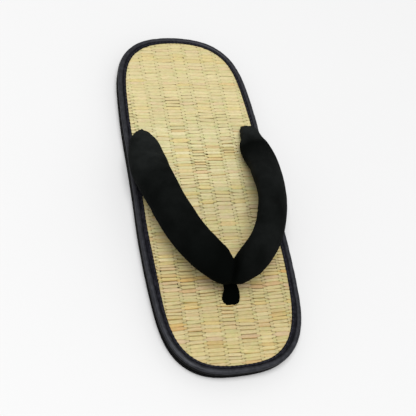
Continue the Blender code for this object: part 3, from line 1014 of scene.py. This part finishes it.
def build_tape(material, shaded_side_material):
    """The sewn strip on the rush, which runs on under the roll and down the outside."""
    count = binding_count()
    phase = 2 * math.pi * np.arange(count) / STATIONS_PER_STITCH
    pull = (0.16 * (0.5 - 0.5 * np.cos(phase)) + 0.10 * ring_noise(count, 21.0, 40.0)) * MM
    dimple = 0.12 * MM * (0.5 + 0.5 * np.cos(phase))
    reach = edge_reach(count)
    roll_half, roll_centre = roll_shape(count)
    rows = (
        (0.3 * MM, STRIP_LOW - 0.2 * MM),
        (pull - 0.05 * MM, STRIP_LOW + 0.05 * MM),
        (pull, STRIP_HIGH - 0.16 * MM),
        (0.22 * MM + pull * 0.6, STRIP_HIGH),
        (0.7 * MM, STRIP_HIGH + 0.03 * MM - dimple * 0.8),
        (1.05 * MM, STRIP_HIGH - dimple * 1.2),
        (1.4 * MM, STRIP_HIGH + 0.02 * MM - dimple * 0.7),
        (roll_centre - roll_half - 0.2 * MM, STRIP_HIGH - 0.08 * MM),
        (roll_centre - roll_half + 0.25 * MM, STRIP_HIGH - 0.75 * MM),
        (roll_centre, 10.6 * MM),
        (reach - 0.35 * MM, ROLL_CENTRE + 0.1 * MM),
        (reach + 0.02 * MM, ROLL_CENTRE + 0.05 * MM),
        (reach + 0.12 * MM, ROLL_CENTRE - 0.4 * MM),
        (reach + 0.05 * MM, 9.6 * MM),
        (reach - 0.3 * MM, 8.3 * MM),
        (reach - 0.45 * MM, 7.2 * MM),
        (reach - 0.8 * MM, MAT_UNDERSIDE),
        (reach - 2.6 * MM, MAT_UNDERSIDE),
        (reach - 2.8 * MM, STRIP_LOW - 2.4 * MM),
        (2.0 * MM, STRIP_LOW - 0.9 * MM),
    )
    item = around_edge("binding_tape", rows, material, 50)
    # The outer side takes a darker copy of the tape: painted shade.
    paint_rows(item, shaded_side_material, [row in TAPE_SIDE_ROWS for row in range(len(rows))])
    return item


def build_roll(material, shaded_flank_material):
    """The rolled vinyl cord along the edge, with the creases of a strip pulled round bends."""
    count = binding_count()
    roll_half, centre = roll_shape(count)
    swell = (0.10 * ring_noise(count, 3.0, 9.0) + 0.07 * ring_noise(count, 8.0, 34.0)) * MM
    rise = ROLL_TOP - ROLL_CENTRE + 0.8 * swell
    # Each kind of crease: the turn that it runs at and its half width, in degrees, and its depth.
    creases = (
        (72 + 55 * ring_noise(count, 31.0, 16.0), 13,
         0.24 * MM * smooth_between(-0.15, 0.3, ring_noise(count, 37.0, 11.0))),
        (40 + 70 * ring_noise(count, 51.0, 24.0), 16,
         0.16 * MM * smooth_between(0.0, 0.35, ring_noise(count, 57.0, 18.0))),
    )
    rough = smooth_between(-0.1, 0.4, ring_noise(count, 41.0, 14.0))
    rows = []
    for number in range(ROLL_SIDES):
        degrees = 360 * number / ROLL_SIDES
        turn = math.radians(degrees)
        pucker = ring_noise(count, 60.0 + 0.35 * math.cos(turn) + 0.8 * number / ROLL_SIDES, 120.0)
        dent = -0.075 * MM * rough * pucker
        for middle, half_width, depth in creases:
            off = (degrees - middle + 180) % 360 - 180
            dent += depth * np.exp(-(off / half_width) ** 2)
        out = signed_power(math.cos(turn), 2 / ROLL_POWER)
        up = signed_power(math.sin(turn), 2 / ROLL_POWER)
        rows.append((centre + (roll_half + swell * 0.6 - dent) * out,
                     ROLL_CENTRE + (rise - dent) * up))
    item = around_edge("binding_roll", rows[::-1], material)
    # The roll's outer underside takes the darker copy of the tape: painted shade.
    middle = (ROLL_SIDES - 1.5 - np.arange(ROLL_SIDES)) * 360 / ROLL_SIDES
    low, high = FLANK_DEGREES
    paint_rows(item, shaded_flank_material, (middle - low) % 360 < high - low)
    return item


def build_stitches(material):
    """One short thread for each stitch along the flat band of the binding."""
    spots, outward = edge_stations(binding_count())
    bend = np.linspace(-1, 1, THREAD_RINGS)
    turn = ring_turns(THREAD_SIDES)
    radius = (THREAD_RADIUS * np.sqrt(np.clip(1 - bend ** 6 * 0.9, 0.05, 1)))[:, None]
    sink = THREAD_SINK * np.abs(bend) ** 3
    tubes = []
    for middle in range(STATIONS_PER_STITCH // 2, len(spots), STATIONS_PER_STITCH):
        out = outward[middle]
        ahead = np.array((-out[1], out[0]))
        place = spots[middle] + out * THREAD_OUT + ahead * (bend * THREAD_HALF_LENGTH)[:, None]
        rings = np.empty((THREAD_RINGS, THREAD_SIDES, 3))
        rings[..., :2] = place[:, None] + out * (radius * np.cos(turn))[..., None]
        rings[..., 2] = (THREAD_HEIGHT - sink)[:, None] + radius * np.sin(turn)
        tubes.append(rings)
    item = mesh_object("binding_stitches", *joined_tubes(tubes), material)
    item.data.flip_normals()    # to face outward
    return item


# ---- outsole ----
def tread_ribs():
    """The wavy ribs across the underside, as tubes."""
    section = np.array(RIB_SECTION_MM) * MM
    ribs = []
    most = int(MAT_LENGTH / RIB_PITCH / 2) - 1
    for number in range(-most, most + 1):
        middle = number * RIB_PITCH
        left, right = across_limits(middle, -RIB_MARGIN, RIB_CLEAR)
        if right - left < RIB_SHORTEST:
            continue
        x = np.linspace(left, right, 2 * max(6, int((right - left) / RIB_STEP)) + 1)
        y = middle + RIB_WAVE * np.sin(x / RIB_WAVE_LENGTH * 2 * math.pi)
        ribs.append(rings_of(x[:, None], y[:, None] + section[:, 0], section[:, 1]))
    return ribs


def build_outsole(material):
    spots, outward = edge_stations(SOLE_STATIONS)
    widen = edge_reach(SOLE_STATIONS) - EDGE_REACH
    shell = np.empty((len(SOLE_PROFILE_MM), SOLE_STATIONS, 3))
    for ring, (out, height) in zip(shell, np.array(SOLE_PROFILE_MM) * MM):
        ring[:, :2] = spots + outward * (out + widen * (out > 0))[:, None]
        ring[:, 2] = height
    return mesh_object("sole_and_tread", *joined_tubes([shell, *tread_ribs()]), material, 40)


# ---- straps ----
def support_height(places):
    """The lowest height that cloth may have over each place (x, y), clear of rush and binding."""
    outside = outside_by(places)
    roll = (ROLL_TOP - STRIP_HIGH) * smooth_between(1.4 * MM, 3.0 * MM, outside)
    found = np.where(outside > -0.5 * MM, STRIP_HIGH + CLOTH_OFF_STRIP + roll,
                     MAT_TOP + CLOTH_OFF_RUSH)
    return np.where(outside > EDGE_REACH + 0.3 * MM, -1.0, found)


def strap_leg(table_mm):
    """One leg on the right-hand side: its rings of points, and the travel to its join."""
    positions = even_positions(table_mm, STRAP_STEP)
    table = smooth_rows(STRAP_COLUMNS + LIE_COLUMNS, np.hstack((table_mm, STRAP_LIE)), positions)
    centres = centre_line(table)
    top = Vector((0, 0, 1))
    inward = Vector((-1, 0, 0))
    wide, thick = [], []
    for number, position in enumerate(positions):
        if position < REAR_ROWS:
            lean = math.radians(table["lean"][number])
            top = Vector((0, math.cos(lean), math.sin(lean)))
            side = inward
        else:
            ahead = centres[min(number + 1, len(centres) - 1)] - centres[number - 1]
            normal = Vector(ahead).normalized().lerp(inward, table["mitre"][number]).normalized()
            top = (top - normal * top.dot(normal)).normalized()
            side = normal.cross(top)
        tilt = math.radians(table["tilt"][number])
        wide.append(side * math.cos(tilt) + top * math.sin(tilt))
        thick.append(top * math.cos(tilt) - side * math.sin(tilt))
    travel = travelled(centres)
    grow = 1 - (1 - STRAP_SLACK) * smooth_between(*SLACK_ROWS, positions)
    half_width = (table["half_width"] * MM * grow)[:, None]
    half_height = (table["half_height"] * MM * grow)[:, None]
    turn = ring_turns(STRAP_SIDES)
    flatten = (2 / table["power"])[:, None]
    out = signed_power(np.cos(turn), flatten) * half_width
    rise = signed_power(np.sin(turn), flatten) * half_height
    rings = (centres[:, None] + np.array(wide)[:, None] * out[..., None]
             + np.array(thick)[:, None] * rise[..., None])
    rings[-1, :, 0] = 0.0
    ease = 0.5 * smooth_between(REAR_ROWS, REAR_ROWS + 1.5, positions[1:-1])[:, None, None]
    for _ in range(STRAP_EASINGS):
        rings[1:-1] += ease * ((rings[:-2] + rings[2:]) / 2 - rings[1:-1])
    return rings, travel[-1] - travel


def strap_grid():
    """Rings of vertices and places on the cloth of both legs in one loft.

    A place is the travel from the join in millimetres, negative on the left leg, and the
    cosine and sine of the turn round the section. The last value returned is the travel of
    each vertex from its own leg's end.
    """
    right, from_join = strap_leg(RIGHT_LEG_MM)
    left, left_from_join = strap_leg(LEFT_LEG_MM)
    grid = np.concatenate((right, left[-2::-1] * (-1, 1, 1)))
    turn = ring_turns(STRAP_SIDES)
    travel = np.concatenate((from_join, -left_from_join[-2::-1]))[:, None] / MM
    places = rings_of(travel, np.cos(turn), np.sin(turn))
    from_end = np.concatenate((
        from_join[0] - from_join, left_from_join[0] - left_from_join[-2::-1]))
    return grid, places, np.repeat(from_end / MM, STRAP_SIDES)


def inflate(item, pinned, ramp):
    """Blow the closed cloth up a little and hold the pinned vertices. ramp is the share of its
    travel that each vertex keeps."""
    start = read_array(item.data.vertices, "co")
    group = item.vertex_groups.new(name="held")
    group.add([int(i) for i in np.flatnonzero(pinned)], 1.0, "REPLACE")
    cloth = item.modifiers.new("inflate", "CLOTH")
    cloth.settings.vertex_group_mass = group.name
    for name, value in CLOTH_SETTINGS.items():
        setattr(cloth.settings, name, value)
    cloth.settings.effector_weights.gravity = 0
    cloth.collision_settings.use_collision = False
    scene = bpy.context.scene
    for number in range(1, CLOTH_FRAMES + 1):
        scene.frame_set(number)
    solved = item.evaluated_get(bpy.context.evaluated_depsgraph_get())
    moved = (read_array(solved.data.vertices, "co") - start).reshape(-1, STRAP_SIDES, 3)
    for _ in range(SWELL_EASINGS):
        moved[1:-1] += ((moved[:-2] + moved[2:]) / 2 - moved[1:-1]) / 2
    moved = moved.reshape(-1, 3)
    item.modifiers.remove(cloth)
    scene.frame_set(1)
    reach = np.linalg.norm(moved, axis=1)
    scale = np.minimum(1.0, SWELL_MOST / np.maximum(reach, 1e-9))
    set_points(item.data, start + moved * (scale * ramp)[:, None])


def subdivide(item):
    """Replace the item's mesh by the same one subdivided once."""
    modifier = item.modifiers.new("smooth", "SUBSURF")
    modifier.levels = 1
    modifier.render_levels = 1
    solved = item.evaluated_get(bpy.context.evaluated_depsgraph_get())
    mesh = bpy.data.meshes.new_from_object(solved)
    item.modifiers.remove(modifier)
    old = item.data
    item.data = mesh
    bpy.data.meshes.remove(old)


# Soft ridges and troughs in the straps' cloth, in millimetres and degrees. travel
# is from the join, negative on the left leg; turn goes round the section from its inner side
# (0) over the top (90) to the outer side (180); slant is how far the fold is turned from
# running round the strap (0) to running along it (90); and rise is negative in a trough.
FOLD_COLUMNS = ("travel", "turn", "half_length", "half_width", "slant", "rise")
FOLD_TABLE = (
    (4.5, 150, 7.0, 1.5, 24, 0.55),
    (7.5, 120, 8.0, 1.8, 30, -0.40),
    (10.5, 95, 8.0, 1.6, 36, 0.40),
    (6.0, 55, 7.0, 1.6, -18, 0.45),
    (11.0, 30, 7.5, 2.0, -26, -0.30),
    (17.0, 165, 6.0, 2.2, 35, 0.30),
    (-4.8, 140, 7.0, 1.6, 22, 0.50),
    (-9.0, 150, 8.0, 1.8, 34, 0.30),
    (-8.0, 95, 8.0, 2.0, 28, -0.30),
    (-6.0, 40, 7.0, 1.7, -20, 0.40),
    (-15.0, 60, 8.0, 2.4, -30, 0.22),
    (-62.0, 165, 9.0, 3.0, 14, 0.28),
    (70.0, 160, 9.0, 3.0, -12, 0.25),
    (-118.0, 100, 10.0, 2.6, 8, 0.30),
    (122.0, 80, 10.0, 2.4, -10, 0.32),
    (128.0, 140, 8.0, 2.0, 12, -0.25),
    (62.0, 5, 18.0, 9.0, 90, -0.50),
    (101.0, -28, 10.0, 9.0, 90, -1.30),
    (120.0, 0, 8.0, 9.0, 90, 0.75),
    (127.0, 180, 11.0, 8.0, 90, -0.60),
    (82.0, 180, 28.0, 8.0, 90, 0.85),
    (46.0, 180, 9.0, 8.0, 90, -0.25),
    (-9.0, 20, 5.0, 8.0, 90, 0.45),
    (-39.0, 0, 9.0, 8.0, 90, -0.40),
    (-77.0, 5, 13.0, 9.0, 90, 0.85),
    (-101.0, 5, 9.0, 9.0, 90, 0.50),
    (-52.0, 180, 20.0, 8.0, 90, 1.05),
)


def fold_rise(travel, turn):
    """Height of all the listed folds, in metres, at places on the cloth."""
    rise = np.zeros(len(travel))
    for row in FOLD_TABLE:
        fold = dict(zip(FOLD_COLUMNS, row))
        leg = math.copysign(1, fold["travel"])
        ahead = travel * leg - abs(fold["travel"])
        around = (turn - fold["turn"] + 180) % 360 - 180
        around = np.radians(around) * SECTION_RADIUS_MM
        slant = math.radians(fold["slant"])
        run = around * math.cos(slant) + ahead * math.sin(slant)
        over = ahead * math.cos(slant) - around * math.sin(slant)
        shape = np.exp(-(run / fold["half_length"]) ** 2 - (over / fold["half_width"]) ** 2)
        rise += np.where(travel * leg > -1, fold["rise"] * shape, 0)
    return rise * MM


def cloth_rise(places, turn, from_end):
    """How far the folds, gathers, waves and seam lift the cloth at places on it, in metres."""
    travel = places[:, 0]
    rise = fold_rise(travel, turn)
    gather = smooth_between(4.0, 8.0, from_end) * (1 - smooth_between(11.0, 22.0, from_end))
    sway = np.sin(np.radians(turn) * 3 + travel * 0.05)
    rise -= GATHER_DEPTH * gather * np.cos(np.radians(turn) * GATHERS + 1.3 * sway)
    for depth, along, around, shift in CLOTH_WAVES:
        wave = np.array([noise.noise((t * along + shift, around * c, around * w))
                         for t, c, w in places])
        rise -= depth * wave * smooth_between(8, 20, from_end)
    from_seam = np.radians((turn + 90 + 180) % 360 - 180) * SECTION_RADIUS_MM
    stitch = 0.5 + 0.5 * np.cos(travel * 2 * math.pi / SEAM_PITCH_MM)
    seam = np.exp(-(from_seam / SEAM_HALF_WIDTH_MM) ** 2) * (0.55 + 0.25 * stitch)
    rise -= seam * MM * smooth_between(12, 18, from_end) * smooth_between(4, 8, np.abs(travel))
    return rise


def crease_depth(travel, around):
    """How far the sewn join draws the cloth in, at turns in radians round the section."""
    near = 1 - np.minimum(np.abs(travel) / CREASE_REACH_MM, 1)
    rounding = 1 - np.sqrt(1 - near ** 2)
    depth = CREASE_DEPTH * (0.42 + 0.58 * np.cos(around - CREASE_DEEPEST))
    depth *= 0.62 + 0.38 * np.sin(around)
    return np.maximum(depth, CREASE_SHALLOWEST) * rounding


def painted_light_level(travel, inward):
    """Painted light and shade on the cloth, by the tables along each leg: lighter on a leg's inner
    side, darker on its outer side, and darkest in the crease at the join. inward is 1 on a leg's
    inner side and -1 on its outer side.
    """
    painted_light = np.where(travel > 0, np.interp(travel, PAINTED_LIGHT_TRAVEL, RIGHT_PAINTED_LIGHT),
                     np.interp(-travel, PAINTED_LIGHT_TRAVEL, LEFT_PAINTED_LIGHT))
    painted_light *= 1 + PAINTED_LIGHT_INWARD * inward * np.where(travel > 0, 0.3, 1.0)
    # Painted shade in the crease where the legs are sewn together.
    return painted_light * (1 - np.exp(-(travel / 2.2) ** 2))


def dress_straps(item):
    """Gathers, folds, the sewn seam, and the rest of the cloth on rush and binding."""
    mesh = item.data
    points, normals = read_array(mesh.vertices, "co"), read_array(mesh.vertices, "normal")
    places = read_array(mesh.attributes["strap_place"].data, "vector")
    from_end = read_array(mesh.attributes["from_end"].data, "value", 1)[:, 0]
    travel = places[:, 0]
    turn = np.degrees(np.arctan2(places[:, 2], places[:, 1]))
    around = np.radians(turn % 360)
    inward = crease_depth(travel, around)
    points += normals * cloth_rise(places, turn, from_end)[:, None]
    points[:, 1] -= inward * np.cos(around)
    points[:, 2] -= inward * np.sin(around)
    lean = CREASE_LEAN - CREASE_SWING * (1 - np.cos(around)) / 2
    points[:, 0] += lean * np.exp(-(travel / CREASE_SPAN_MM) ** 2)
    floor = support_height(points[:, :2])
    clear = (from_end > 7) & beyond_holes(points, HOLES_MM[:2], 1.25)
    low = clear & (points[:, 2] < floor)
    points[low, 2] = floor[low]
    set_points(mesh, points)
    from_seam = np.radians((turn + 90) % 360) * SECTION_RADIUS_MM
    add_point_values(item, "cloth_mm", "FLOAT_VECTOR", rings_of(travel, from_seam, 0.0))
    # Painted light and shade of each point, which the cotton's colour reads.
    add_point_values(item, "painted_light", "FLOAT", painted_light_level(travel, places[:, 1]))


def build_straps(material):
    grid, places, from_end = strap_grid()
    item = mesh_object("padded_straps", *joined_tubes([grid]), material)
    item.data.flip_normals()    # to face outward
    add_point_values(item, "strap_place", "FLOAT_VECTOR", places)
    add_point_values(item, "from_end", "FLOAT", from_end)
    pinned = (from_end < HELD_END_MM) | (np.abs(places[..., 0].ravel()) < HELD_JOIN_MM)
    inflate(item, pinned, smooth_between(*SWELL_FROM_END_MM, from_end))
    subdivide(item)
    dress_straps(item)
    return item


# ---- toe post ----
def build_post(material):
    """The toe post: a flat cloth loop, folded down its middle, gathered where it enters."""
    positions = np.linspace(0, len(POST_TABLE_MM) - 1, POST_RINGS)
    table = smooth_rows(POST_COLUMNS, POST_TABLE_MM, positions)
    centres = centre_line(table)
    turn = ring_turns(POST_SIDES)
    flat = signed_power(np.cos(turn), POST_POWER)
    thick = signed_power(np.sin(turn), POST_POWER)
    rings = np.empty((POST_RINGS, POST_SIDES, 3))
    for number, centre in enumerate(centres):
        ahead = Vector(centres[min(number + 1, POST_RINGS - 1)] - centres[max(number - 1, 0)])
        depth = np.array(ahead.normalized().cross(Vector((1, 0, 0))))
        height = table["height"][number]
        half_width = table["half_width"][number] * MM
        half_depth = table["half_depth"][number] * MM
        middle = 0.75 * np.exp(-((flat * half_width / MM - 0.5) / 0.9) ** 2)
        pleat = 0.18 * np.cos(turn * 9 + 0.25 * height) * np.exp(-((height - 1.0) / 3.0) ** 2)
        fold = 0.16 * np.sin(height * 0.9 + 2.0 * np.cos(turn)) * math.exp(-((height - 7) / 6) ** 2)
        swell = pleat + fold
        rings[number] = (centre
                         + np.array((1.0, 0, 0)) * ((half_width + swell * MM) * flat)[:, None]
                         + depth * ((half_depth + (swell - middle) * MM) * thick)[:, None])
    item = mesh_object("toe_post_loop", *joined_tubes([rings]), material)
    cloth = rings_of(table["height"][:, None], turn * POST_RADIUS_MM, 0.0)
    add_point_values(item, "cloth_mm", "FLOAT_VECTOR", cloth)
    # The loop's painted light and shade: the deepest shade all over.
    add_point_values(item, "painted_light", "FLOAT", np.full(POST_RINGS * POST_SIDES, POST_PAINTED_LIGHT))
    return item


def main():
    cotton = cotton_material("strap_cotton", 0.02)
    cotton_post = cotton_material("post_cotton", 0.01)
    tape_paint = tape_material("binding_tape", (0.0050, 0.0050, 0.0075), (0.021, 0.020, 0.027), 0.09)
    # A darker, duller copy of the tape for the outer sides of tape and roll: painted shade.
    shaded_side_paint = tape_material(
        "binding_shaded_side", (0.0008, 0.0008, 0.0010), (0.0030, 0.0030, 0.0034), 0.04)

    reeds = build_reeds(rush_material("rush_stalks", (0.66, 0.56, 0.28), "stalk_colour"))
    core = build_core(rush_material("rush_underlayer", (0.55, 0.44, 0.22)))
    warps = build_warps(rush_material("rush_warp", (0.60, 0.51, 0.27)))
    tape = build_tape(tape_paint, shaded_side_paint)
    roll = build_roll(vinyl_material(), shaded_side_paint)
    stitches = build_stitches(thread_material())
    sole = build_outsole(rubber_material())
    straps = build_straps(cotton)
    post = build_post(cotton_post)
    for piece, slot in (
            (reeds, "rush"), (core, "rush"), (warps, "rush"), (tape, "binding_vinyl"),
            (roll, "binding_vinyl"), (stitches, "binding_vinyl"), (sole, "sole_rubber"),
            (straps, "strap_cotton"), (post, "post_cotton")):
        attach(piece, "root")
    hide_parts("rush_mat")
    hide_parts("edge_binding")
    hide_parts("edge_binding")
    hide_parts("outsole")
    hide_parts("straps")
    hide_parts("toe_post")


def aimed(place, aim):
    """The matrix of a camera or lamp at a place that looks at another, with its top side up."""
    turn = (place - aim).to_track_quat("Z", "Y").to_matrix().to_4x4()
    return Matrix.Translation(place) @ turn


def add_camera():
    data = bpy.data.cameras.new("camera")
    data.lens = CAMERA_LENS
    data.clip_start = 0.01
    camera = link("camera", data)
    camera.matrix_world = aimed(CAMERA_PLACE, CAMERA_AIM) @ Matrix.Rotation(CAMERA_ROLL, 4, "Z")
    bpy.context.scene.camera = camera


def add_key_light():
    """A large soft lamp high on the left, turned to the middle of the floor."""
    data = bpy.data.lights.new("key", "AREA")
    data.shape = "DISK"
    data.size = KEY_SIZE
    data.energy = KEY_ENERGY
    link("key", data).matrix_world = aimed(KEY_PLACE, Vector((0, 0, 0)))


def add_studio():
    corners = [(x * FLOOR_REACH, y * FLOOR_REACH, 0) for x, y in ((-1, -1), (1, -1), (1, 1), (-1, 1))]
    mesh_object("studio_floor", corners, [(0, 1, 2, 3)], floor_material())
    add_key_light()
    world = bpy.data.worlds.new("studio")
    world.use_nodes = True
    background = world.node_tree.nodes["Background"]
    background.inputs["Color"].default_value = (1.0, 1.0, 1.0, 1.0)
    background.inputs["Strength"].default_value = SKY_STRENGTH
    bpy.context.scene.world = world
    bpy.context.scene.view_settings.view_transform = "Standard"


main()
add_camera()
add_studio()
